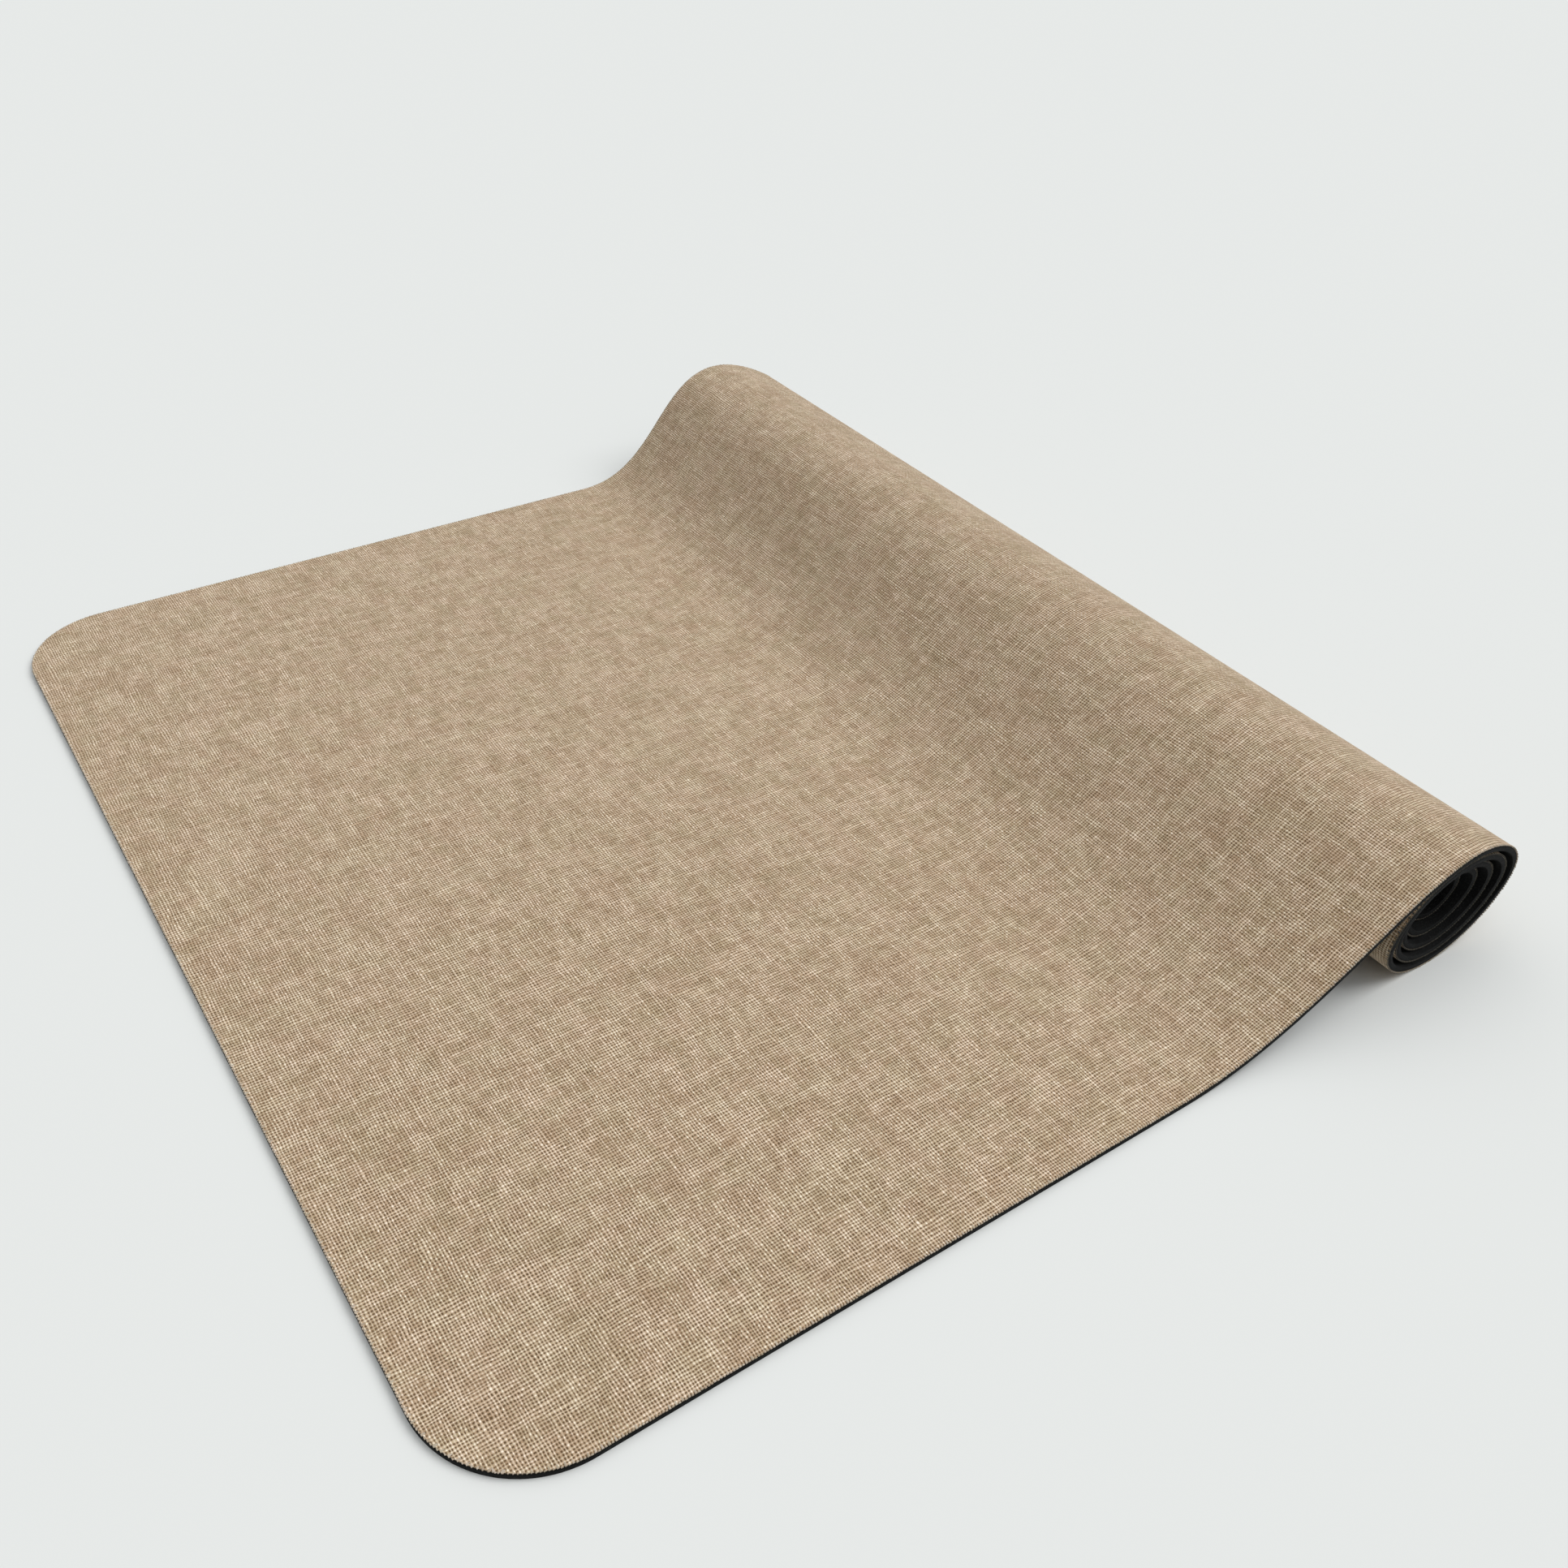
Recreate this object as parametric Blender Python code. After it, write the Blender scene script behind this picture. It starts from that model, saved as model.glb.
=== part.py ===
"""Yoga mat, partly unrolled on the floor.

A laminate of three sheets: a woven face cloth, a film of adhesive and a foamed rubber base. About a third
of its length lies flat. The rest rises off the floor and is wound under itself, face outwards, into a
loose, slightly slumped roll. Metres, +Z up. +X runs from the free end to the roll, Y across the mat, and
the origin is on the floor under the middle of the mat's bounding box.
"""

import bmesh
import bpy
import numpy as np

# The blank, as it is cut
MAT_WIDTH = 0.680
CORNER_RADIUS = 0.053

# The laminate, from the walking side down
FACE_THICKNESS = 0.0005
FILM_THICKNESS = 0.0002
BASE_THICKNESS = 0.0026
PLY_CLEARANCE = 0.0003

# The flat stretch, up to where the near edge leaves the floor. The far edge does so later, because the
# mat lies a little askew in its roll
FLAT_LENGTH = 0.358
FAR_LIFT_OFF_LAG = 0.053

# The roll: a winding round an open core, counted in turns from the top of the outermost one. It has
# sagged, so the turns lie close above and below the core and gape at its sides, and it leans a little
TURNS = 5.0
CORE_RADIUS = 0.0131
CLOSE_TURN_GAP = 0.0007
SIDE_TURN_SLACK = 0.0032
ROLL_LEAN_DEGREES = 9.4
RISE_TO_ROLL = 0.131

# How far the inner end has slid along the roll, since the mat went in askew
INNER_END_SLIDE = 0.015

# How stiffly the sheet leaves the floor and meets the roll, as shares of the rise and the half width
NEAR_RISE_START_SHARE = 0.79
FAR_RISE_START_SHARE = 0.985
NEAR_RISE_END_SHARE = 1.36
FAR_RISE_END_SHARE = 2.19

# Counts that set how fine the facets are
STEPS_PER_TURN = 24
STEPS_PAST_TOP = 2
RISE_STEPS = 28
CORNER_STEPS = 6
FLAT_STEPS = 3

MAT_THICKNESS = FACE_THICKNESS + FILM_THICKNESS + BASE_THICKNESS + 2 * PLY_CLEARANCE

ROLL_HALF_WIDTH = CORE_RADIUS + TURNS * (MAT_THICKNESS + CLOSE_TURN_GAP + SIDE_TURN_SLACK)
ROLL_X = FLAT_LENGTH + RISE_TO_ROLL + ROLL_HALF_WIDTH


def clear_scene():
    for old in list(bpy.data.objects):
        bpy.data.objects.remove(old, do_unlink=True)


def turn_spacing(angle):
    """Distance between neighbouring turns on the side of the roll that faces the given angle, and how fast
    it changes with that angle."""
    off_axis = angle - np.radians(ROLL_LEAN_DEGREES)
    spacing = MAT_THICKNESS + CLOSE_TURN_GAP + SIDE_TURN_SLACK * np.cos(off_axis) ** 2
    return spacing, -SIDE_TURN_SLACK * np.sin(2 * off_axis)


def core_to_face(turn, angle):
    """Distance from the core's axis to the line that touches the winding squarely at the given angle: the
    core's radius and one spacing for each turn that is still to come. Also how fast it changes."""
    spacing, change = turn_spacing(angle)
    left = TURNS - turn
    return CORE_RADIUS + left * spacing, left * change + spacing / (2 * np.pi)


def roll_height():
    """Height of the core's axis, with the winding's lowest point, half a turn in, on the floor."""
    return core_to_face(0.5, -np.pi / 2)[0]


def winding(turn):
    """Walking side of the roll in the XZ plane, drawn by its tangents: each turn lies inside the last by
    the spacing for the side that it faces. Turn 0 is the top, and it goes over, away and down."""
    turn = np.asarray(turn, float)
    angle = np.pi / 2 - 2 * np.pi * turn
    reach, change = core_to_face(turn, angle)
    x = ROLL_X + reach * np.cos(angle) - change * np.sin(angle)
    z = roll_height() + reach * np.sin(angle) + change * np.cos(angle)
    return np.stack([x, z], axis=-1)


def run_lengths(points):
    """Distance travelled up to each point."""
    steps = np.linalg.norm(np.diff(points, axis=0), axis=1)
    return np.concatenate([[0.0], np.cumsum(steps)])


def join_turn():
    """Turn at which the risen sheet becomes the roll, a few steps past the top."""
    return STEPS_PAST_TOP / STEPS_PER_TURN


def rise(flat_length, start_share, end_share):
    """Walking side of the sheet between floor and roll: one cubic curve, level where it leaves the floor
    and in line with the winding where it meets it."""
    past_top = 2 * np.pi * join_turn()
    heading = np.array([np.cos(past_top), -np.sin(past_top)])
    start = np.array([flat_length, MAT_THICKNESS])
    end = winding(join_turn())
    room = ROLL_X - ROLL_HALF_WIDTH - flat_length
    start_pull = start + np.array([start_share * room, 0.0])
    end_pull = end - end_share * ROLL_HALF_WIDTH * heading
    t = np.linspace(0.0, 1.0, RISE_STEPS + 1)[:, None]
    return (
        (1 - t) ** 3 * start
        + 3 * (1 - t) ** 2 * t * start_pull
        + 3 * (1 - t) * t**2 * end_pull
        + t**3 * end
    )


def corner_runs():
    """Distances from an end of the mat at which the rounded corner is stepped, a quarter circle's worth."""
    t = np.linspace(0.0, np.pi / 2, CORNER_STEPS + 1)
    return CORNER_RADIUS * (1 - np.cos(t))


def roll_stations():
    """Turns at which the roll is stepped: even steps, and the inner corner's own steps at the inner end."""
    fine = np.linspace(join_turn(), TURNS, 60 * STEPS_PER_TURN)
    to_end = run_lengths(winding(fine))
    to_end = to_end[-1] - to_end
    corner = np.interp(corner_runs(), to_end[::-1], fine[::-1])
    even = np.arange(STEPS_PAST_TOP + 1, int(TURNS * STEPS_PER_TURN) + 1) / STEPS_PER_TURN
    spare = 0.3 / STEPS_PER_TURN
    even = even[even < TURNS - spare]
    corner = [turn for turn in corner if np.abs(even - turn).min() > spare]
    return np.sort(np.concatenate([even, corner]))


def edge_section(flat_length, start_share, end_share, turns):
    """Walking side along one long edge of the mat, from the free end to the end inside the roll."""
    corner = corner_runs()
    level = np.linspace(CORNER_RADIUS, flat_length, FLAT_STEPS + 1)[1:-1]
    x = np.concatenate([corner, level])
    flat = np.stack([x, np.full(len(x), MAT_THICKNESS)], axis=-1)
    return np.concatenate([flat, rise(flat_length, start_share, end_share), winding(turns)])


def outward(section):
    """Unit normals on the walking side, square to the mean direction of the two runs that meet there."""
    runs = np.diff(section, axis=0)
    runs = runs / np.linalg.norm(runs, axis=1)[:, None]
    before = np.concatenate([runs[:1], runs])
    after = np.concatenate([runs, runs[-1:]])
    middle = before + after
    middle = middle / np.linalg.norm(middle, axis=1)[:, None]
    stretch = (before * middle).sum(axis=1)
    return np.stack([-middle[:, 1], middle[:, 0]], axis=-1) / stretch[:, None]


def half_widths(section):
    """Half the mat's width at each station, drawn in along the quarter circles of its corners."""
    run = run_lengths(section)
    from_end = np.minimum(run, run[-1] - run)
    inset = np.clip(CORNER_RADIUS - from_end, 0.0, CORNER_RADIUS)
    return MAT_WIDTH / 2 - CORNER_RADIUS + np.sqrt((CORNER_RADIUS - inset) * (CORNER_RADIUS + inset))


def edge_lines(section, turns):
    """Where the near and the far long edge lie across the mat at each station: half its width to either
    side, slid along the roll by a distance that grows as the square of the turn."""
    half = half_widths(section)
    slide = np.zeros(len(half))
    slide[-len(turns):] = INNER_END_SLIDE * (turns / TURNS) ** 2
    return slide - half, slide + half


def mat_sections():
    """The walking side along both long edges: the points of its profile, their normals and the lines of
    the edges, moved so that the origin is under the middle of the bounding box."""
    turns = roll_stations()
    far_flat = FLAT_LENGTH + FAR_LIFT_OFF_LAG
    near = edge_section(FLAT_LENGTH, NEAR_RISE_START_SHARE, NEAR_RISE_END_SHARE, turns)
    far = edge_section(far_flat, FAR_RISE_START_SHARE, FAR_RISE_END_SHARE, turns)
    near_y, far_y = edge_lines(near, turns)
    middle_x = (near[:, 0].min() + near[:, 0].max()) / 2
    middle_y = (near_y.min() + far_y.max()) / 2
    move = np.array([middle_x, 0.0])
    near_edge = (near - move, outward(near), near_y - middle_y)
    far_edge = (far - move, outward(far), far_y - middle_y)
    return near_edge, far_edge


def finish_material(name, colour, roughness):
    material = bpy.data.materials.new(name)
    material.use_nodes = True
    shader = material.node_tree.nodes["Principled BSDF"]
    shader.inputs["Base Color"].default_value = (*colour, 1.0)
    shader.inputs["Roughness"].default_value = roughness
    shader.inputs["Metallic"].default_value = 0.0
    return material


def ply(name, depth, thickness, edges, material):
    """One sheet of the laminate as a closed body: a flat-ended strip, depth below the walking side and
    thickness thick, lofted from station to station. Every quad is cut along the same diagonal, so that
    neighbouring plies stay parallel where the rising sheet twists."""
    near, far = edges
    mesh_work = bmesh.new()
    rings = []
    for i in range(len(near[0])):
        ring = []
        for (points, normals, y), sink in (
            (near, depth),
            (far, depth),
            (far, depth + thickness),
            (near, depth + thickness),
        ):
            x, z = points[i] - normals[i] * sink
            ring.append(mesh_work.verts.new((x, y[i], z)))
        rings.append(ring)
    for a, b in zip(rings, rings[1:]):
        mesh_work.faces.new((a[0], b[0], b[1], a[1]))
        mesh_work.faces.new((a[1], b[1], b[2], a[2]))
        mesh_work.faces.new((a[3], a[2], b[2], b[3]))
        mesh_work.faces.new((a[0], a[3], b[3], b[0]))
    mesh_work.faces.new(rings[0])
    mesh_work.faces.new(rings[-1][::-1])
    bmesh.ops.triangulate(mesh_work, faces=mesh_work.faces[:], quad_method="FIXED")
    bmesh.ops.recalc_face_normals(mesh_work, faces=mesh_work.faces[:])
    mesh = bpy.data.meshes.new(name)
    mesh_work.to_mesh(mesh)
    mesh_work.free()
    mesh.materials.append(material)
    mesh.shade_smooth()
    mesh.set_sharp_from_angle(angle=np.radians(40))
    item = bpy.data.objects.new(name, mesh)
    bpy.context.scene.collection.objects.link(item)
    return item


def least_turn_gap(section, normals):
    """Least air between one stretch of the mat and any other, below zero where they would run into each
    other: from the points of both sides to the box that lies under each run of the walking side."""
    run = run_lengths(section)
    step = np.diff(section, axis=0)
    length = np.linalg.norm(step, axis=1)
    ahead = step / length[:, None]
    up = np.stack([-ahead[:, 1], ahead[:, 0]], axis=-1)
    middle = (section[:-1] + section[1:]) / 2
    apart = np.abs(run[:, None] - (run[:-1] + run[1:])[None] / 2) - length / 2
    least = np.inf
    for points in (section, section - normals * MAT_THICKNESS):
        away = points[:, None, :] - middle[None]
        past_end = np.abs((away * ahead).sum(axis=2)) - length / 2
        past_side = np.abs((away * up).sum(axis=2) + MAT_THICKNESS / 2) - MAT_THICKNESS / 2
        outside = np.hypot(np.maximum(past_end, 0.0), np.maximum(past_side, 0.0))
        gap = outside + np.minimum(np.maximum(past_end, past_side), 0.0)
        least = min(least, gap[apart > 6 * MAT_THICKNESS].min())
    return least


def build():
    clear_scene()
    edges = mat_sections()
    plies = (
        ("linen_face", FACE_THICKNESS, finish_material("woven_linen", (0.52, 0.41, 0.29), 0.9)),
        ("bond_film", FILM_THICKNESS, finish_material("adhesive_film", (0.30, 0.28, 0.22), 0.5)),
        ("rubber_base", BASE_THICKNESS, finish_material("black_rubber", (0.02, 0.02, 0.02), 0.8)),
    )
    depth = 0.0
    for name, thickness, material in plies:
        ply(name, depth, thickness, edges, material)
        depth += thickness + PLY_CLEARANCE
    for side, (section, normals, _) in zip(("near", "far"), edges):
        gap = least_turn_gap(section, normals)
        print(f"{side} edge: least gap between turns {gap * 1000:.2f} mm")
    length = run_lengths(edges[0][0])[-1]
    print(f"blank: {MAT_WIDTH * 1000:.0f} x {length * 1000:.0f} x {MAT_THICKNESS * 1000:.1f} mm")


build()
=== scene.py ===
"""Yoga mat, partly unrolled on the floor, woven face up.

The mat is one laminate of woven cloth, adhesive film and foamed rubber. The frame gives the solids and
their place. This script gives each ply its fine shape, its bare cut edge and its surface, in metres, +Z up,
+X from the free end to the roll and Y across the mat.
"""

import bpy
import numpy as np
from mathutils import Matrix, Vector


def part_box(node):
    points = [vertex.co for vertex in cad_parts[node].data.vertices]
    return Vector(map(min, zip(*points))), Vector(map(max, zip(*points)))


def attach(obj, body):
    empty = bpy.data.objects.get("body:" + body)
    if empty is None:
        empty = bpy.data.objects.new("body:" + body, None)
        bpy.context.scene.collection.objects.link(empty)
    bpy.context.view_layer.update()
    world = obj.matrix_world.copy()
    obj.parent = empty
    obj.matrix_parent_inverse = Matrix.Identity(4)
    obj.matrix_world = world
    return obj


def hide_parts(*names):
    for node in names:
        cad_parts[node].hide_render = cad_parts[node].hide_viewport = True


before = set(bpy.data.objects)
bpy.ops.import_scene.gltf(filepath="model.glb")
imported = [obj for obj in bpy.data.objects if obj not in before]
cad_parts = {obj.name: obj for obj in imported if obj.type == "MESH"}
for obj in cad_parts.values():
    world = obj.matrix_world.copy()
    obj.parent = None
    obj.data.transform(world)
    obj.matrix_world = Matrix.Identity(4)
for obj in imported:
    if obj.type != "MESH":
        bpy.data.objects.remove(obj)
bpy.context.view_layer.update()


# Linen face. The side that one stands on: an open plain weave of slubbed, linen-like yarn, bonded to the
# rubber and die-cut with it, so that it has no hem. It follows the mat's lay: flat, then up off the floor
# and into a loose, slumped roll, later at the far edge than at the near one because the mat lies askew.
MAT_WIDTH = 0.680
CORNER_RADIUS = 0.053
MAT_THICKNESS = 0.0039
FLAT_LENGTH = 0.358
FAR_LIFT_OFF_LAG = 0.053
TURNS = 5.0
CORE_RADIUS = 0.0131
CLOSE_TURN_GAP = 0.0007
SIDE_TURN_SLACK = 0.0032
ROLL_LEAN_DEGREES = 9.4
RISE_TO_ROLL = 0.131
INNER_END_SLIDE = 0.015

# The rise meets the roll at the join turn, a little past the roll's top. An edge's two shares say how long
# the rise keeps its direction at the floor, in widths of the room before the roll, and how long it has
# that of the roll before the join, in half widths of the roll.
JOIN_TURN = 1 / 12
NEAR_RISE_SHARES = (0.79, 1.36)
FAR_RISE_SHARES = (0.985, 2.19)
ROLL_HALF_WIDTH = CORE_RADIUS + TURNS * (MAT_THICKNESS + CLOSE_TURN_GAP + SIDE_TURN_SLACK)
ROLL_X = FLAT_LENGTH + RISE_TO_ROLL + ROLL_HALF_WIDTH

# The walking side is drawn by one number, the station: 0 to 1 is the free end's corner, to 2 the flat
# stretch, to 3 the rise and to 4 the roll
CORNER_STEPS = 40
FLAT_STEPS = 50
RISE_STEPS = 90
ROLL_STEPS = 460
COLUMNS = 44
FINE_STEPS = 16000
TANGENT_STEP = 1e-5
SHARP_DEGREES = 40


def winding(turn):
    """Walking side of the roll in the XZ plane, drawn by its tangents: at each heading the distance from
    the core's axis is the core's radius and one turn's spacing for every turn still to come, and the point
    is that distance outwards and its rate of change sideways. The spacing has a slack that goes as the
    squared cosine of the heading, least above and below the core."""
    angle = np.pi / 2 - 2 * np.pi * turn
    lean = np.radians(ROLL_LEAN_DEGREES)
    left = TURNS - turn
    spacing = MAT_THICKNESS + CLOSE_TURN_GAP + SIDE_TURN_SLACK * np.cos(angle - lean) ** 2
    reach = CORE_RADIUS + left * spacing
    change = spacing / (2 * np.pi) - left * SIDE_TURN_SLACK * np.sin(2 * (angle - lean))
    under = MAT_THICKNESS + CLOSE_TURN_GAP + SIDE_TURN_SLACK * np.sin(lean) ** 2
    axis_height = CORE_RADIUS + (TURNS - 0.5) * under
    x = ROLL_X + reach * np.cos(angle) - change * np.sin(angle)
    z = axis_height + reach * np.sin(angle) + change * np.cos(angle)
    return np.stack([x, z], axis=-1)


def edge_line(station, flat_length, rise_shares):
    """Walking side along one long edge, as XZ points at the given stations: a level line, a cubic curve
    that starts level and ends along the winding, and the winding."""
    level = np.where(
        station < 1,
        CORNER_RADIUS * station,
        CORNER_RADIUS + (flat_length - CORNER_RADIUS) * (station - 1),
    )
    flat = np.stack([level, np.full(level.shape, MAT_THICKNESS)], axis=-1)
    past_top = 2 * np.pi * JOIN_TURN
    start = np.array([flat_length, MAT_THICKNESS])
    end = winding(np.array(JOIN_TURN))
    room = ROLL_X - ROLL_HALF_WIDTH - flat_length
    start_pull = start + np.array([rise_shares[0] * room, 0.0])
    heading = np.array([np.cos(past_top), -np.sin(past_top)])
    end_pull = end - rise_shares[1] * ROLL_HALF_WIDTH * heading
    t = np.clip(station - 2, 0.0, 1.0)[..., None]
    rise = (
        (1 - t) ** 3 * start
        + 3 * (1 - t) ** 2 * t * start_pull
        + 3 * (1 - t) * t**2 * end_pull
        + t**3 * end
    )
    roll = winding(JOIN_TURN + (TURNS - JOIN_TURN) * (station - 3))
    station = station[..., None]
    return np.where(station < 2, flat, np.where(station < 3, rise, roll))


def near_line(station):
    return edge_line(station, FLAT_LENGTH, NEAR_RISE_SHARES)


def far_line(station):
    return edge_line(station, FLAT_LENGTH + FAR_LIFT_OFF_LAG, FAR_RISE_SHARES)


def run_lengths(points):
    """Distance travelled up to each point."""
    steps = np.linalg.norm(np.diff(points, axis=0), axis=1)
    return np.concatenate([[0.0], np.cumsum(steps)])


fine_stations = np.linspace(0.0, 4.0, FINE_STEPS + 1)
near_runs = run_lengths(near_line(fine_stations))
far_runs = run_lengths(far_line(fine_stations))
MAT_LENGTH = near_runs[-1]
free_end_x, near_edge_y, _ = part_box("linen_face")[0]


def station_at(run):
    """Station at which the near edge has a given distance from the free end."""
    return np.interp(run, near_runs, fine_stations)


def corner_cosine(station, inset):
    """How far a row lies into a corner's quarter circle, inset from the cut: the distance towards the mat's
    end from the circle's centre over the circle's radius, and 0 past the corner."""
    run = np.interp(station, fine_stations, near_runs)
    from_end = np.minimum(run, MAT_LENGTH - run)
    return np.clip((CORNER_RADIUS - from_end) / (CORNER_RADIUS - inset), 0.0, 1.0)


def half_width(station, inset=0.0):
    """Half the blank's width, drawn in along the quarter circles of its corners and inset from the cut."""
    sine = np.sqrt(1 - corner_cosine(station, inset) ** 2)
    return MAT_WIDTH / 2 - CORNER_RADIUS + (CORNER_RADIUS - inset) * sine


def lie(station, across):
    """Where places of the flat blank lie, for arrays of stations and of distances from the middle line: the
    point on the walking side, the way out of it, the way along it and the place in the blank. Each is the
    mix of the two edges' values by the share of the width, and the inner turns have slid along the roll by
    the square of the turn."""
    station, across = np.broadcast_arrays(station, across)
    share = (across / MAT_WIDTH + 0.5)[..., None]
    sides = []
    for line in (near_line, far_line):
        ahead = line(station + TANGENT_STEP) - line(station - TANGENT_STEP)
        ahead = ahead / np.linalg.norm(ahead, axis=-1)[..., None]
        sides.append((line(station), ahead))
    flat_point = (1 - share) * sides[0][0] + share * sides[1][0]
    ahead = (1 - share) * sides[0][1] + share * sides[1][1]
    turn = np.clip(JOIN_TURN + (TURNS - JOIN_TURN) * (station - 3), 0.0, TURNS) * (station > 3)
    y = near_edge_y + MAT_WIDTH / 2 + across + INNER_END_SLIDE * (turn / TURNS) ** 2
    none = np.zeros(y.shape)
    point = np.stack([flat_point[..., 0] + free_end_x, y, flat_point[..., 1]], axis=-1)
    out = np.stack([-ahead[..., 1], none, ahead[..., 0]], axis=-1)
    along = np.stack([ahead[..., 0], none, ahead[..., 1]], axis=-1)
    run = (1 - share[..., 0]) * np.interp(station, fine_stations, near_runs)
    run = run + share[..., 0] * np.interp(station, fine_stations, far_runs)
    return point, out, along, np.stack([across, run, none], axis=-1)


def row_stations(inset):
    """Stations of a ply's rows: even steps, and at both ends the steps of a quarter circle."""
    t = np.linspace(0.0, np.pi / 2, CORNER_STEPS + 1)
    corner = CORNER_RADIUS - (CORNER_RADIUS - inset) * np.cos(t)
    first = station_at(corner)
    last = station_at(MAT_LENGTH - corner[::-1])
    flat = np.linspace(1.0, 2.0, FLAT_STEPS + 1)[1:-1]
    rise = np.linspace(2.0, 3.0, RISE_STEPS + 1)[:-1]
    roll = np.linspace(3.0, last[0], ROLL_STEPS + 1)[:-1]
    return np.concatenate([first, flat, rise, roll, last])


def ply_mesh(name, depth, thickness, inset, rim):
    """A ply as one closed skin: a grid of rows and columns at its depth below the walking side, the same
    grid at its underside, and between their outlines one ring for each step of the rim, a list of shares
    of the thickness and distances outwards."""
    stations = row_stations(inset)
    column = np.linspace(-1.0, 1.0, COLUMNS + 1)
    point, out, along, blank = lie(stations[:, None], half_width(stations, inset)[:, None] * column)
    rows, columns = point.shape[:2]
    index = np.arange(rows * columns).reshape(rows, columns)
    outline = np.concatenate([index[:, 0], index[-1, 1:], index[-2::-1, -1], index[0, -2:0:-1]])
    cosine = corner_cosine(stations, inset)
    toward_end = np.where(stations < 2, -cosine, cosine)[:, None, None]
    sideways = np.sqrt(1 - cosine**2)[:, None] * np.sign(column) * (np.abs(column) == 1)
    outward = sideways[..., None] * np.array([0.0, 1.0, 0.0]) + toward_end * along
    flat = [a.reshape(-1, 3) for a in (point, out, outward, blank)]
    edge = [a[outline] for a in flat]
    layers = [flat[0] - flat[1] * depth]
    places = [flat[3]]
    rings = [outline]
    used = rows * columns
    for share, step in rim:
        layers.append(edge[0] - edge[1] * (depth + share * thickness) + edge[2] * step)
        places.append(edge[3])
        rings.append(used + np.arange(len(outline)))
        used += len(outline)
    layers.append(flat[0] - flat[1] * (depth + thickness))
    places.append(flat[3])
    rings.append(used + outline)
    top = np.stack([index[:-1, :-1], index[1:, :-1], index[1:, 1:], index[:-1, 1:]], axis=-1).reshape(-1, 4)
    faces = [top, used + top[:, ::-1]]
    for a, b in zip(rings, rings[1:]):
        faces.append(np.stack([a, b, np.roll(b, -1), np.roll(a, -1)], axis=-1))
    return skin(name, np.concatenate(layers), np.concatenate(faces), np.concatenate(places))


def skin(name, points, faces, places):
    """A smooth-shaded mesh object whose points also carry their place in the flat blank."""
    mesh = bpy.data.meshes.new(name)
    mesh.vertices.add(len(points))
    mesh.vertices.foreach_set("co", points.astype(np.float32).ravel())
    mesh.loops.add(faces.size)
    mesh.loops.foreach_set("vertex_index", faces.astype(np.int32).ravel())
    mesh.polygons.add(len(faces))
    mesh.polygons.foreach_set("loop_start", np.arange(0, faces.size, faces.shape[1], dtype=np.int32))
    blank = mesh.attributes.new("blank", "FLOAT_VECTOR", "POINT")
    blank.data.foreach_set("vector", places.astype(np.float32).ravel())
    mesh.update(calc_edges=True)
    mesh.validate()
    mesh.shade_smooth()
    mesh.set_sharp_from_angle(angle=np.radians(SHARP_DEGREES))
    item = bpy.data.objects.new(name, mesh)
    bpy.context.scene.collection.objects.link(item)
    return item


def seen(red, green, blue):
    """Linear colour of one that is named as a screen shows it, from 0 to 255."""
    share = np.array([red, green, blue]) / 255
    return (*np.where(share > 0.04045, ((share + 0.055) / 1.055) ** 2.4, share / 12.92), 1.0)


# The yarns of the cloth, in two sets. They wander: each wander is a drift in threads, with its size across
# and along the yarns. They are slubbed: each slub is a bunch of threads of one tone, with its length and its
# share in the tone. They also swell, and their hue goes from warm to grey over several threads.
WARP_PITCH = 0.00160
WEFT_PITCH = 0.00143
YARN_SHARE = 0.58
WIDTH_SPREAD = 0.12
WANDERS = ((1.6, 0.013, 0.050), (0.7, 0.0035, 0.012), (0.5, 0.0017, 0.005))
WANDER_SEEDS = (0.0, 10.0)
SLUBS = ((1.0, 0.016, 0.24), (2.0, 0.021, 0.38), (3.0, 0.028, 0.38))
SLUB_SEEDS = (40.0, 50.0)
SLUB_DETAIL = 2.0
TONE_RANGE = (0.42, 0.58)
BUNCH_APART = 5.3
SWELL_LENGTH = 0.006
SWELL_SEED = 7.0
SWELL_RANGE = (0.25, 0.75)
HUE_THREADS = 7.0
HUE_LENGTH = 0.045
HUE_RANGE = (0.42, 0.60)
WARM_YARN = (seen(218, 198, 174), seen(255, 241, 223))
GREY_YARN = (seen(214, 200, 173), seen(253, 243, 222))

# How they cross: how far a yarn dips under the next, and the painted highlight on the crossings with painted
# shade on the yarns between them: how much of it falls on the crossings, and how that differs by chance and
# from warp to weft. Felted fibres close a part of the holes.
OVER_UNDER = 0.35
CROSSING_LIGHT_SHARE = 0.8
LIGHT_BY_CHANCE = (0.6, 1.4)
LIGHT_OF_WARP_AND_WEFT = (0.8, 1.1)
YARN_SHADE = seen(190, 171, 148)
GLUE_HIDDEN_HEIGHT = 0.6
GLUE_BROWN = seen(98, 74, 47)
FELT_LENGTH = 0.012
FELT_SEED = 90.0
FELT_DETAIL = 3.0
FELT_RANGE = (0.42, 0.75)
FELT_SHARE = 0.3
THREAD_RELIEF = 0.0003
SHEEN_TINT = seen(255, 234, 208)


def node(tree, kind, inputs=None, **settings):
    """A new node, with its settings and its inputs, each a value or another node's output."""
    item = tree.nodes.new("ShaderNode" + kind)
    for name, value in settings.items():
        setattr(item, name, value)
    for name, value in (inputs or {}).items():
        if isinstance(value, bpy.types.NodeSocket):
            tree.links.new(value, item.inputs[name])
        else:
            item.inputs[name].default_value = value
    return item


def maths(tree, operation, *values):
    return node(tree, "Math", dict(enumerate(values)), operation=operation).outputs[0]


def between(tree, share, low, high):
    """Value that goes from the low to the high by a share."""
    return maths(tree, "MULTIPLY_ADD", share, high - low, low)


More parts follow.
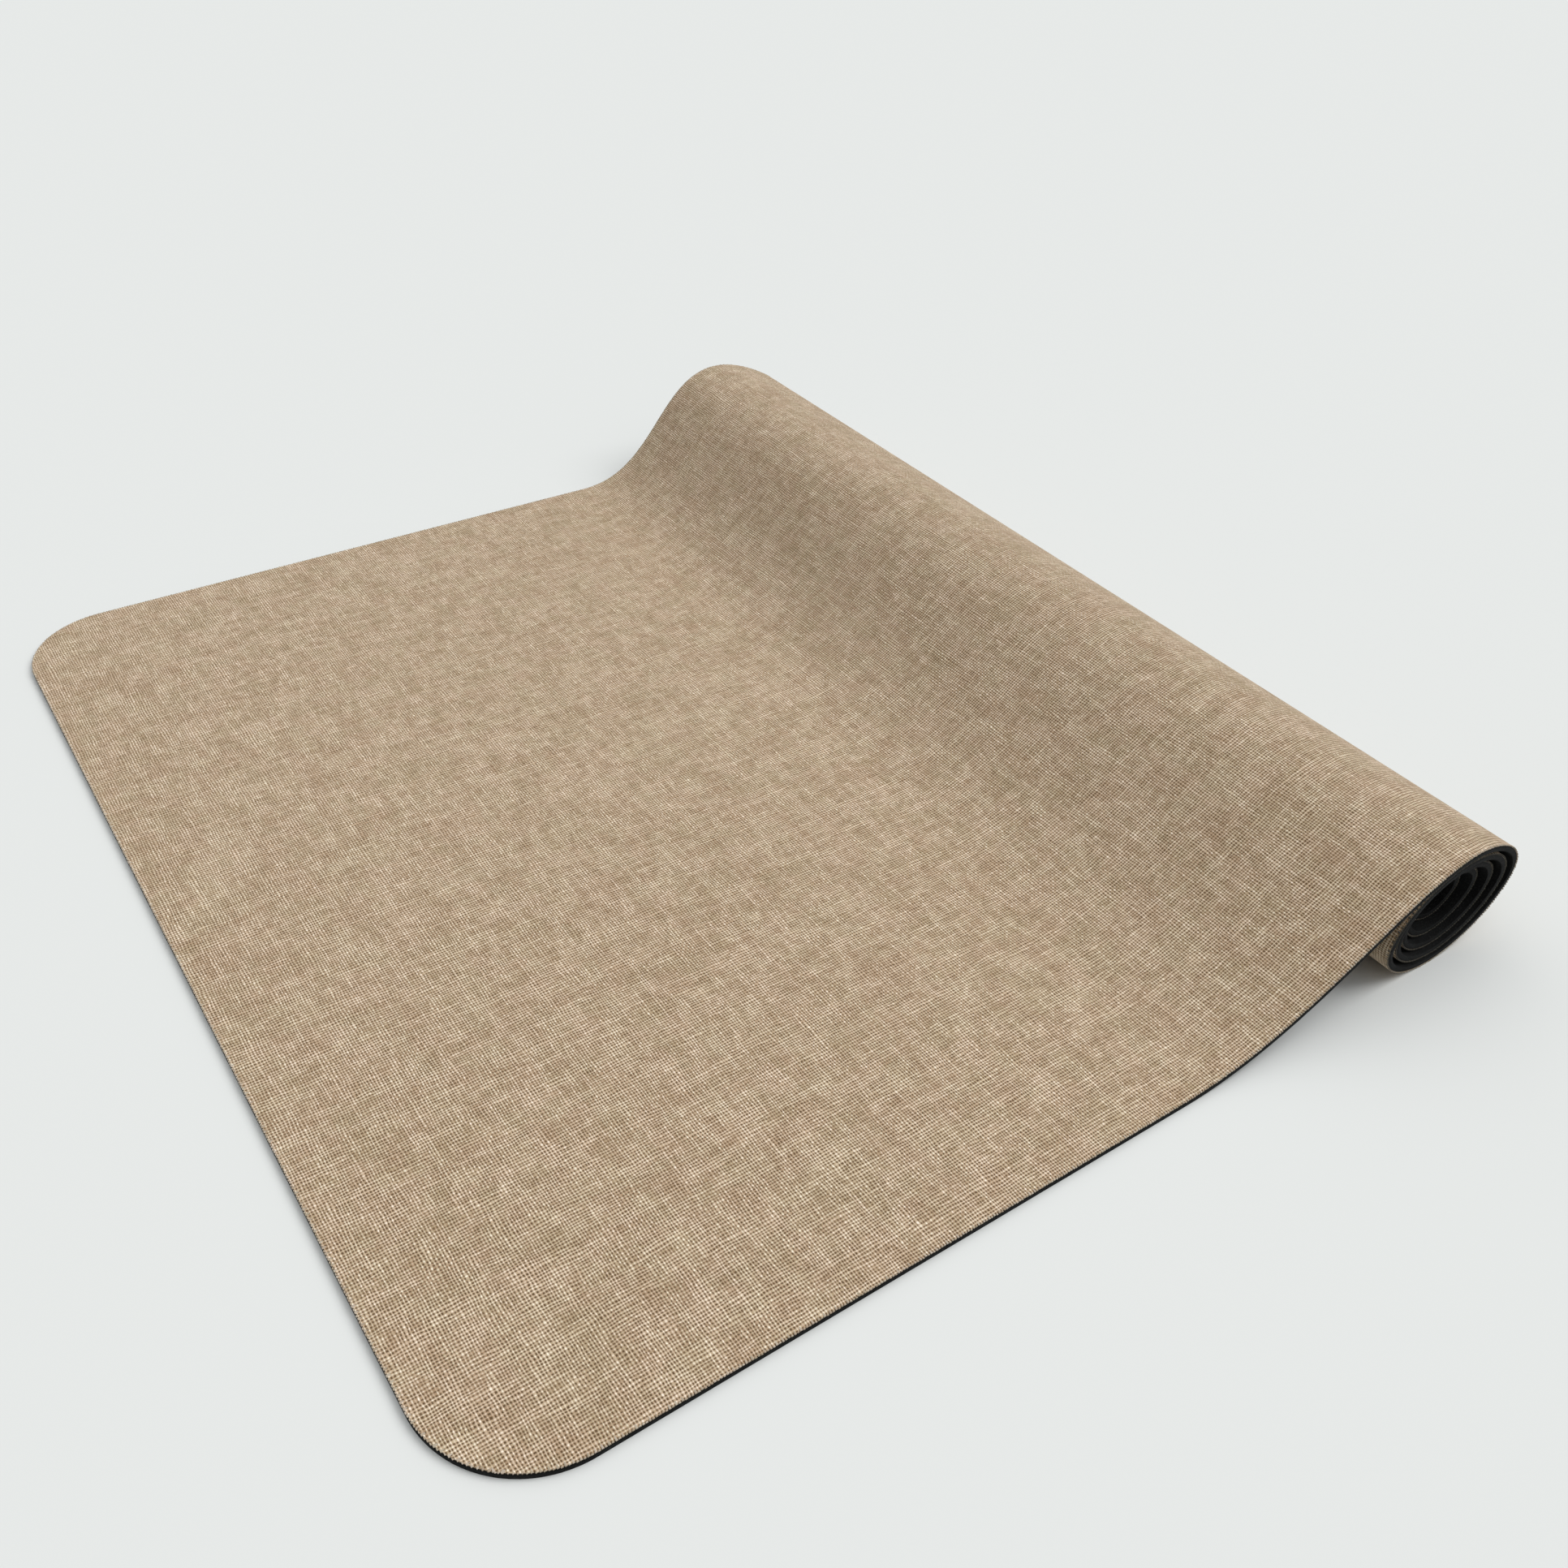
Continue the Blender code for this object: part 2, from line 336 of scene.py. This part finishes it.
def stretch(tree, value, low, high):
    """Value from low to high, eased to 0 to 1."""
    inputs = {"Value": value, "From Min": low, "From Max": high}
    return node(tree, "MapRange", inputs, interpolation_type="SMOOTHSTEP").outputs[0]


def blend(tree, share, first, second, kind="MIX"):
    """Colour that goes from the first to the second by a share."""
    mix = node(tree, "Mix", {0: share, 6: first, 7: second}, data_type="RGBA", blend_type=kind)
    return mix.outputs[2]


def spots(tree, x, y, seed, detail=1.0):
    """Smooth noise from 0 to 1 over a plane, with features about one unit across."""
    place = node(tree, "CombineXYZ", {0: x, 1: y, 2: seed}).outputs[0]
    noise = node(tree, "TexNoise", {"Vector": place, "Scale": 1.0, "Detail": detail}, noise_dimensions="3D")
    return noise.outputs["Fac"]


def new_group(name, inputs, outputs):
    """An empty node group with named sockets, the outputs of its input node and the inputs of its output
    node."""
    group = bpy.data.node_groups.new(name, "ShaderNodeTree")
    for direction, sockets in (("INPUT", inputs), ("OUTPUT", outputs)):
        for socket, kind in sockets:
            group.interface.new_socket(socket, in_out=direction, socket_type="NodeSocket" + kind)
    return group, group.nodes.new("NodeGroupInput").outputs, group.nodes.new("NodeGroupOutput").inputs


def make_slub_yarn():
    """Node group for one set of yarns: how wide a yarn is at each place of its length, and its colour, pale
    or dark, warm or grey. The tone is the sum of a noise along single threads and along bunches of two and
    three neighbours, as yarns off the same cone have it."""
    tree, given, made = new_group(
        "slub_yarn",
        [("Thread", "Float"), ("Along", "Float"), ("Seed", "Float")],
        [("Width", "Float"), ("Color", "Color")],
    )
    tone = 0.0
    for threads, long, share in SLUBS:
        bunch = maths(tree, "FLOOR", maths(tree, "DIVIDE", given["Thread"], threads))
        apart = maths(tree, "MULTIPLY", bunch, BUNCH_APART)
        length = maths(tree, "DIVIDE", given["Along"], long)
        slub = spots(tree, apart, length, given["Seed"], SLUB_DETAIL)
        tone = maths(tree, "MULTIPLY_ADD", slub, share, tone)
    tone = stretch(tree, tone, *TONE_RANGE)
    apart = maths(tree, "MULTIPLY", given["Thread"], BUNCH_APART)
    swell = spots(tree, apart, maths(tree, "DIVIDE", given["Along"], SWELL_LENGTH), SWELL_SEED)
    wide = maths(tree, "DIVIDE", given["Thread"], HUE_THREADS)
    hue = spots(tree, wide, maths(tree, "DIVIDE", given["Along"], HUE_LENGTH), given["Seed"])
    warm = blend(tree, tone, *WARM_YARN)
    grey = blend(tree, tone, *GREY_YARN)
    tree.links.new(stretch(tree, swell, *SWELL_RANGE), made["Width"])
    tree.links.new(blend(tree, stretch(tree, hue, *HUE_RANGE), warm, grey), made["Color"])
    return tree


def lay_yarns(tree, yarn, across, along, pitch, wander_seed, slub_seed):
    """One set of yarns: the count of threads across, which drifts with the wanders, the thread's number, the
    distance from its middle line in pitches, and its width and colour."""
    count = maths(tree, "DIVIDE", across, pitch)
    for threads, broad, long in WANDERS:
        x = maths(tree, "DIVIDE", across, broad)
        y = maths(tree, "DIVIDE", along, long)
        drift = maths(tree, "SUBTRACT", spots(tree, x, y, wander_seed), 0.5)
        count = maths(tree, "MULTIPLY_ADD", drift, threads, count)
    thread = maths(tree, "FLOOR", count)
    off = maths(tree, "SUBTRACT", maths(tree, "SUBTRACT", count, thread), 0.5)
    look = node(tree, "Group", node_tree=yarn)
    tree.links.new(thread, look.inputs["Thread"])
    tree.links.new(along, look.inputs["Along"])
    look.inputs["Seed"].default_value = slub_seed
    made = look.outputs
    return {"count": count, "thread": thread, "off": off, "width": made["Width"], "color": made["Color"]}


def make_plain_weave(yarn):
    """Node group for the cloth. Each yarn is a round ridge, a root of one less the squared distance from its
    middle line, that rises over one crossing yarn and dips under the next by a cosine. The higher yarn
    shows. Its colour has a painted highlight where two yarns cross, most where the weft lies over, and
    painted shade along the yarns between the crossings. Between four crossings the mesh is open down to the
    glue."""
    outputs = [("Color", "Color"), ("Height", "Float")]
    tree, given, made = new_group("plain_weave", [("Blank", "Vector")], outputs)
    place = node(tree, "SeparateXYZ", {0: given["Blank"]}).outputs
    warp = lay_yarns(tree, yarn, place["X"], place["Y"], WARP_PITCH, WANDER_SEEDS[0], SLUB_SEEDS[0])
    weft = lay_yarns(tree, yarn, place["Y"], place["X"], WEFT_PITCH, WANDER_SEEDS[1], SLUB_SEEDS[1])
    ridges, heights = [], []
    for number, (own, other) in enumerate(((warp, weft), (weft, warp))):
        narrow, wide = (YARN_SHARE - WIDTH_SPREAD) / 2, (YARN_SHARE + WIDTH_SPREAD) / 2
        ridge = maths(tree, "DIVIDE", own["off"], between(tree, own["width"], narrow, wide))
        ridge = maths(tree, "SUBTRACT", 1.0, maths(tree, "MULTIPLY", ridge, ridge))
        ridge = maths(tree, "POWER", maths(tree, "MAXIMUM", ridge, 0.0), 0.5)
        phase = maths(tree, "ADD", maths(tree, "ADD", other["count"], own["thread"]), number - 0.5)
        wave = maths(tree, "COSINE", maths(tree, "MULTIPLY", phase, np.pi))
        crown = maths(tree, "MULTIPLY_ADD", wave, OVER_UNDER / 2, 1 - OVER_UNDER / 2)
        ridges.append(ridge)
        heights.append(maths(tree, "MULTIPLY", ridge, crown))
    height = maths(tree, "MAXIMUM", *heights)
    weft_shows = maths(tree, "GREATER_THAN", heights[1], heights[0])
    crossing = maths(tree, "POWER", maths(tree, "MULTIPLY", *ridges), 2.0)
    pair = node(tree, "CombineXYZ", {0: warp["thread"], 1: weft["thread"]}).outputs[0]
    chance = node(tree, "TexWhiteNoise", {"Vector": pair}, noise_dimensions="2D").outputs["Value"]
    # Painted highlight on the crossings and painted shade on the yarn between them, multiplied into the
    # colour
    even = maths(tree, "MULTIPLY", height, 1 - CROSSING_LIGHT_SHARE)
    lit = maths(tree, "MULTIPLY_ADD", crossing, CROSSING_LIGHT_SHARE, even)
    lit = maths(tree, "MULTIPLY", lit, between(tree, chance, *LIGHT_BY_CHANCE))
    lit = maths(tree, "MULTIPLY", lit, between(tree, weft_shows, *LIGHT_OF_WARP_AND_WEFT))
    color = blend(tree, weft_shows, warp["color"], weft["color"])
    color = blend(tree, 1.0, color, blend(tree, lit, YARN_SHADE, (1, 1, 1, 1)), "MULTIPLY")
    x, y = (maths(tree, "DIVIDE", place[axis], FELT_LENGTH) for axis in ("X", "Y"))
    felt = stretch(tree, spots(tree, x, y, FELT_SEED, FELT_DETAIL), *FELT_RANGE)
    felt = maths(tree, "MULTIPLY", felt, FELT_SHARE)
    shut = maths(tree, "MAXIMUM", stretch(tree, height, 0.0, GLUE_HIDDEN_HEIGHT), felt)
    tree.links.new(blend(tree, shut, GLUE_BROWN, color), made["Color"])
    tree.links.new(height, made["Height"])
    return tree


def finish(name, roughness, specular):
    """A new material, its node tree and its shader."""
    material = bpy.data.materials.new(name)
    material.use_nodes = True
    shader = material.node_tree.nodes["Principled BSDF"]
    shader.inputs["Roughness"].default_value = roughness
    shader.inputs["Specular IOR Level"].default_value = specular
    return material, material.node_tree, shader


def make_woven_linen(weave):
    material, tree, shader = finish("woven_linen", roughness=0.75, specular=0.25)
    blank = node(tree, "Attribute", attribute_name="blank").outputs["Vector"]
    cloth = node(tree, "Group", node_tree=weave)
    tree.links.new(blank, cloth.inputs["Blank"])
    tree.links.new(cloth.outputs["Color"], shader.inputs["Base Color"])
    relief = {"Height": cloth.outputs["Height"], "Distance": THREAD_RELIEF, "Strength": 1.0}
    tree.links.new(node(tree, "Bump", relief).outputs[0], shader.inputs["Normal"])
    shader.inputs["Sheen Weight"].default_value = 0.5
    shader.inputs["Sheen Roughness"].default_value = 0.5
    shader.inputs["Sheen Tint"].default_value = SHEEN_TINT
    return material


slub_yarn = make_slub_yarn()
woven_linen = make_woven_linen(make_plain_weave(slub_yarn))

# The cloth ends short of the cut and swells a little between its two sides
FACE_DEPTH = 0.0001
FACE_THICKNESS = 0.0007
FACE_INSET = 0.0005
FACE_RIM = ((0.35, 0.00012), (0.75, 0.00012))

linen_face = ply_mesh("linen_face_cloth", FACE_DEPTH, FACE_THICKNESS, FACE_INSET, FACE_RIM)
linen_face.data.materials.append(woven_linen)
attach(linen_face, "root")
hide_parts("linen_face")


# Cut yarn ends. Where the die went through the cloth every yarn ends bare: a short stub, dark with glue,
# that stands a little past the cloth's edge, one for each warp at the two ends and one for each weft at the
# two sides. Those of the inner turns are darker and greyer than the rest: painted shade for the inside of
# the roll.
STUB_ROOT = 0.0016
STUB_SHOULDER = 0.0003
STUB_PAST_EDGE = 0.00025
STUB_PAST_SPREAD = (0.2, 1.3)
STUB_DEPTH = 0.00042
STUB_HALF_HEIGHT = 0.00034
STUB_HALF_WIDTH_SHARE = 0.40
STUB_WIDTH_SPREAD = (0.85, 1.1)
STUB_SWELL_SHARES = (0.85, 1.0, 0.95, 0.55)
STUB_SLANT_SHARE = 0.7
STUB_STEEPEST = 1.3
STUB_OVER_UNDER = 0.00008
STUB_STRAY = 0.00005
STUB_SIDES = 8
STUB_SEED = 5
LEAST_SQUARE = 1e-9
GLUE_SHARE = 0.55
GLUED_YARN = seen(96, 80, 62)
INNER_TURN_SHADE_FROM = (0.69, 0.77)
INNER_TURN_SHADE = seen(82, 81, 74)
YARN_TIP = seen(52, 43, 33)
TIP_FADE = 1.5


def stub_places():
    """Station, distance across, direction in the blank and slant of each cut yarn end: every warp meets the
    cut where the corner's circle or the end line is, and every weft where the half width is. The slant is
    the sideways step over the forward step of the cut there, and yarns cut nearly lengthwise have no
    stub."""
    warp = (np.arange(int(MAT_WIDTH / WARP_PITCH)) + 0.5) * WARP_PITCH - MAT_WIDTH / 2
    past = np.clip(np.abs(warp) - (MAT_WIDTH / 2 - CORNER_RADIUS), 0.0, CORNER_RADIUS)
    cut = CORNER_RADIUS - np.sqrt(CORNER_RADIUS**2 - past**2)
    weft = (np.arange(int(MAT_LENGTH / WEFT_PITCH)) + 0.5) * WEFT_PITCH
    side = half_width(station_at(weft))
    back = np.clip(CORNER_RADIUS - np.minimum(weft, MAT_LENGTH - weft), 0.0, CORNER_RADIUS)
    past = np.concatenate([past, past, back, back])
    slant = past / np.sqrt(np.maximum(CORNER_RADIUS**2 - past**2, LEAST_SQUARE))
    kept = slant < STUB_STEEPEST
    run = np.concatenate([cut, MAT_LENGTH - cut, weft, weft])
    across = np.concatenate([warp, warp, -side, side])
    ways = [[0.0, -1.0], [0.0, 1.0], [-1.0, 0.0], [1.0, 0.0]]
    way = np.repeat(ways, [len(warp), len(warp), len(weft), len(weft)], axis=0)
    return station_at(run)[kept], across[kept], way[kept], slant[kept]


def stub_mesh(name):
    """Each stub is a tube of a few rings: flat oval, swollen a little at the cut and drawn in at its tip,
    with every other one lying lower, as the weave does. The third number of its place is 1 at the tip."""
    station, across, way, slant = stub_places()
    count = len(station)
    draw = np.random.default_rng(STUB_SEED)
    point, out, along, blank = lie(station, across)
    axis = way[:, :1] * np.array([0.0, 1.0, 0.0]) + way[:, 1:] * along
    beside = np.cross(out, axis)
    pitch = np.where(way[:, 0] == 0, WARP_PITCH, WEFT_PITCH)
    past = STUB_PAST_EDGE * draw.uniform(*STUB_PAST_SPREAD, count)
    width = STUB_HALF_WIDTH_SHARE * pitch * draw.uniform(*STUB_WIDTH_SPREAD, count)
    root, shoulder = np.full((2, count), [[-STUB_ROOT], [-STUB_SHOULDER]])
    reach = np.stack([root, shoulder, past / 2, past], axis=-1)
    reach -= (STUB_SLANT_SHARE * slant * width)[:, None]
    swell = np.array(STUB_SWELL_SHARES)
    turn = np.linspace(0.0, 2 * np.pi, STUB_SIDES, endpoint=False)
    lower = np.where(np.arange(count) % 2 == 0, -STUB_OVER_UNDER, STUB_OVER_UNDER)
    lower = lower + draw.uniform(-STUB_STRAY, STUB_STRAY, count)
    centre = point - out * (STUB_DEPTH + lower)[:, None]
    ring = (
        centre[:, None, None]
        + axis[:, None, None] * reach[:, :, None, None]
        + beside[:, None, None] * (width[:, None, None] * swell[:, None] * np.cos(turn))[..., None]
        + out[:, None, None] * (STUB_HALF_HEIGHT * swell[:, None] * np.sin(turn))[..., None]
    )
    place = blank[:, None, None] + np.zeros(ring.shape)
    place[:, -1, :, 2] = 1.0
    index = np.arange(ring[..., 0].size).reshape(count, len(swell), STUB_SIDES)
    a, b = index[:, :-1], index[:, 1:]
    walls = np.stack([a, np.roll(a, -1, axis=-1), np.roll(b, -1, axis=-1), b], axis=-1)
    fan = np.array([[0, k + 2, k + 1, k] for k in range(1, STUB_SIDES - 2, 2)])
    caps = [index[:, -1][:, fan[:, ::-1]], index[:, 0][:, fan]]
    faces = np.concatenate([part.reshape(-1, 4) for part in (walls, *caps)])
    return skin(name, ring.reshape(-1, 3), faces, place.reshape(-1, 3))


def make_cut_yarn(yarn):
    material, tree, shader = finish("cut_yarn", roughness=0.9, specular=0.2)
    blank = node(tree, "Attribute", attribute_name="blank").outputs["Vector"]
    place = node(tree, "SeparateXYZ", {0: blank}).outputs
    count = maths(tree, "DIVIDE", maths(tree, "ADD", place["X"], place["Y"]), WEFT_PITCH)
    look = node(tree, "Group", node_tree=yarn)
    tree.links.new(maths(tree, "FLOOR", count), look.inputs["Thread"])
    tree.links.new(place["Y"], look.inputs["Along"])
    look.inputs["Seed"].default_value = SLUB_SEEDS[1]
    glued_and_shaded = blend(tree, GLUE_SHARE, look.outputs["Color"], GLUED_YARN)
    # Painted shade: the ends further along the mat than the outer turn, inside the roll, are drawn darker
    # and greyer
    glued_and_shaded = blend(tree, stretch(tree, place["Y"], *INNER_TURN_SHADE_FROM), glued_and_shaded, INNER_TURN_SHADE)
    tip = maths(tree, "POWER", place["Z"], TIP_FADE)
    tree.links.new(blend(tree, tip, glued_and_shaded, YARN_TIP), shader.inputs["Base Color"])
    return material


yarn_ends = stub_mesh("cut_yarn_ends")
yarn_ends.data.materials.append(make_cut_yarn(slub_yarn))
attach(yarn_ends, "root")
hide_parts("linen_face")


# Bond film. A thin skin of hot-melt adhesive that laminates the cloth to the rubber. It ends just short of
# the cut, where it shows as a dark brown line under the yarn ends.
FILM_DEPTH = 0.00082
FILM_THICKNESS = 0.00018
FILM_INSET = 0.00025
FILM_RIM = ((0.5, 0.00003),)
FILM_GRAIN_SCALE = 900.0
FILM_GRAIN_DETAIL = 2.0
FILM_BROWNS = (seen(40, 32, 24), seen(66, 54, 40))


def grain(tree, place, scale, detail):
    """Smooth noise from 0 to 1 in space, with a number of features to the metre."""
    return node(tree, "TexNoise", {"Vector": place, "Scale": scale, "Detail": detail}).outputs["Fac"]


def make_adhesive_film():
    material, tree, shader = finish("adhesive_film", roughness=0.55, specular=0.4)
    place = node(tree, "TexCoord").outputs["Object"]
    share = grain(tree, place, FILM_GRAIN_SCALE, FILM_GRAIN_DETAIL)
    tree.links.new(blend(tree, share, *FILM_BROWNS), shader.inputs["Base Color"])
    return material


bond_film = ply_mesh("bond_film_sheet", FILM_DEPTH, FILM_THICKNESS, FILM_INSET, FILM_RIM)
bond_film.data.materials.append(make_adhesive_film())
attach(bond_film, "root")
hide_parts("bond_film")


# Rubber base. A sheet of foamed natural rubber that grips the floor, split to thickness and die-cut, so its
# edge is a plain wall that bulges a little between its two sides. It is full of fine pores, pitted in relief
# and drawn darker towards their middles as painted shade, with pale grains of filler between them.
BASE_DEPTH = 0.00102
BASE_THICKNESS = MAT_THICKNESS - BASE_DEPTH
BASE_INSET = 0.00008
BASE_RIM = ((0.04, 0.0), (0.07, 0.00006), (0.5, 0.0001), (0.93, 0.00006), (0.97, 0.0))
CLOUD_SCALE = 60.0
CLOUD_RANGE = (0.35, 0.65)
RUBBER_BLACKS = (seen(10, 10, 10), seen(19, 20, 20))
FILLER_SCALE = 1400.0
FILLER_RANGE = (0.55, 0.72)
FILLER_GREY = seen(42, 43, 42)
RUBBER_DETAIL = 3.0
PORE_SCALE = 1200.0
PORE_SHADE_RANGE = (0.0, 0.35)
PORE_DEEP_RANGE = (0.0, 0.4)
PORE_SHADE = seen(4, 4, 4)
PORE_RELIEF = 0.0003
FILLER_RELIEF_SHARE = 0.6


def make_black_rubber():
    material, tree, shader = finish("black_rubber", roughness=0.8, specular=0.12)
    place = node(tree, "TexCoord").outputs["Object"]
    filler = grain(tree, place, FILLER_SCALE, RUBBER_DETAIL)
    cloud = grain(tree, place, CLOUD_SCALE, RUBBER_DETAIL)
    pores = node(tree, "TexVoronoi", {"Vector": place, "Scale": PORE_SCALE}).outputs["Distance"]
    color = blend(tree, stretch(tree, cloud, *CLOUD_RANGE), *RUBBER_BLACKS)
    color = blend(tree, stretch(tree, filler, *FILLER_RANGE), color, FILLER_GREY)
    # Painted shade in the pores: near black towards each pore's middle
    color = blend(tree, stretch(tree, pores, *PORE_SHADE_RANGE), PORE_SHADE, color)
    tree.links.new(color, shader.inputs["Base Color"])
    height = maths(tree, "MULTIPLY", filler, FILLER_RELIEF_SHARE)
    height = maths(tree, "ADD", stretch(tree, pores, *PORE_DEEP_RANGE), height)
    relief = {"Height": height, "Distance": PORE_RELIEF, "Strength": 1.0}
    tree.links.new(node(tree, "Bump", relief).outputs[0], shader.inputs["Normal"])
    return material


rubber_base = ply_mesh("rubber_base_foam", BASE_DEPTH, BASE_THICKNESS, BASE_INSET, BASE_RIM)
rubber_base.data.materials.append(make_black_rubber())
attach(rubber_base, "root")
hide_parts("rubber_base")


# Floor. A plain pale matt floor under the mat, so wide that its rim lies far off and shows no line where it
# meets the background.
FLOOR_HALF = 12.0
FLOOR_PALE = seen(224, 226, 224)


def make_floor():
    material, tree, shader = finish("pale_floor", roughness=1.0, specular=0.0)
    shader.inputs["Base Color"].default_value = FLOOR_PALE
    mesh = bpy.data.meshes.new("floor")
    corners = [(FLOOR_HALF * x, FLOOR_HALF * y, 0.0) for x, y in ((-1, -1), (1, -1), (1, 1), (-1, 1))]
    mesh.from_pydata(corners, [], [(0, 1, 2, 3)])
    mesh.materials.append(material)
    floor = bpy.data.objects.new("floor", mesh)
    bpy.context.scene.collection.objects.link(floor)
    return floor


make_floor()


# Light. A pale room, brightest overhead, that the camera and reflections see as an even pale background in
# the floor's colour, and one broad lamp beyond the roll that throws the soft shade along the rise.
BRIGHT_WAY = Vector((0.10, 0.10, 0.99))
BRIGHT_RANGE = (0.3, 1.0)
DOME_STRENGTHS = (0.20, 1.19)
DAYLIGHT = seen(253, 254, 255)
BACKGROUND = seen(231, 233, 232)
LAMP_WAY = Vector((0.75, -0.34, 1.0))
LAMP_DISTANCE = 3.0
LAMP_STRENGTH = 1.38
LAMP_SPREAD_DEGREES = 40.0


def make_dome():
    world = bpy.data.worlds.new("pale_room")
    bpy.context.scene.world = world
    world.use_nodes = True
    tree = world.node_tree
    way = node(tree, "TexCoord").outputs["Generated"]
    toward = node(tree, "VectorMath", {0: way, 1: BRIGHT_WAY}, operation="DOT_PRODUCT").outputs["Value"]
    strength = between(tree, stretch(tree, toward, *BRIGHT_RANGE), *DOME_STRENGTHS)
    shown = node(tree, "Background", {"Color": BACKGROUND, "Strength": 1.0}).outputs[0]
    light = node(tree, "Background", {"Color": DAYLIGHT, "Strength": strength}).outputs[0]
    ray = node(tree, "LightPath").outputs
    seen_ray = maths(tree, "MAXIMUM", ray["Is Camera Ray"], ray["Is Glossy Ray"])
    seen_ray = maths(tree, "MAXIMUM", seen_ray, ray["Is Transmission Ray"])
    both = node(tree, "MixShader", {0: seen_ray, 1: light, 2: shown}).outputs[0]
    tree.links.new(both, tree.nodes["World Output"].inputs["Surface"])


def make_far_lamp():
    lamp = bpy.data.lights.new("far_lamp", "SUN")
    lamp.energy = LAMP_STRENGTH
    lamp.angle = np.radians(LAMP_SPREAD_DEGREES)
    item = bpy.data.objects.new("far_lamp", lamp)
    bpy.context.scene.collection.objects.link(item)
    item.location = LAMP_DISTANCE * LAMP_WAY
    item.rotation_euler = (-LAMP_WAY).to_track_quat("-Z", "Y").to_euler()


make_dome()
make_far_lamp()


# Camera. It stands in front of the free end's near corner and looks down along the mat to the roll. Its
# focal length is given in pixels of the square photograph.
CAMERA_PLACE = (-0.36180, -0.60703, 0.53550)
CAMERA_HEADING_DEGREES = 54.155
CAMERA_DROP_DEGREES = 37.815
CAMERA_ROLL_DEGREES = 2.780
FOCAL_PIXELS = 1845.0
PHOTO_PIXELS = 1932.0
SENSOR_MM = 36.0


def make_camera():
    heading, drop, roll = np.radians([CAMERA_HEADING_DEGREES, CAMERA_DROP_DEGREES, CAMERA_ROLL_DEGREES])
    ahead = Vector((np.cos(heading) * np.cos(drop), np.sin(heading) * np.cos(drop), -np.sin(drop)))
    level = Vector((np.sin(heading), -np.cos(heading), 0.0))
    upright = level.cross(ahead)
    right = np.cos(roll) * level + np.sin(roll) * upright
    up = -np.sin(roll) * level + np.cos(roll) * upright
    data = bpy.data.cameras.new("camera")
    data.sensor_width = SENSOR_MM
    data.lens = SENSOR_MM * FOCAL_PIXELS / PHOTO_PIXELS
    camera = bpy.data.objects.new("camera", data)
    axes = Matrix((right, up, -ahead)).transposed()
    camera.matrix_world = Matrix.Translation(CAMERA_PLACE) @ axes.to_4x4()
    bpy.context.scene.collection.objects.link(camera)
    bpy.context.scene.camera = camera


make_camera()
bpy.context.scene.view_settings.view_transform = "Standard"
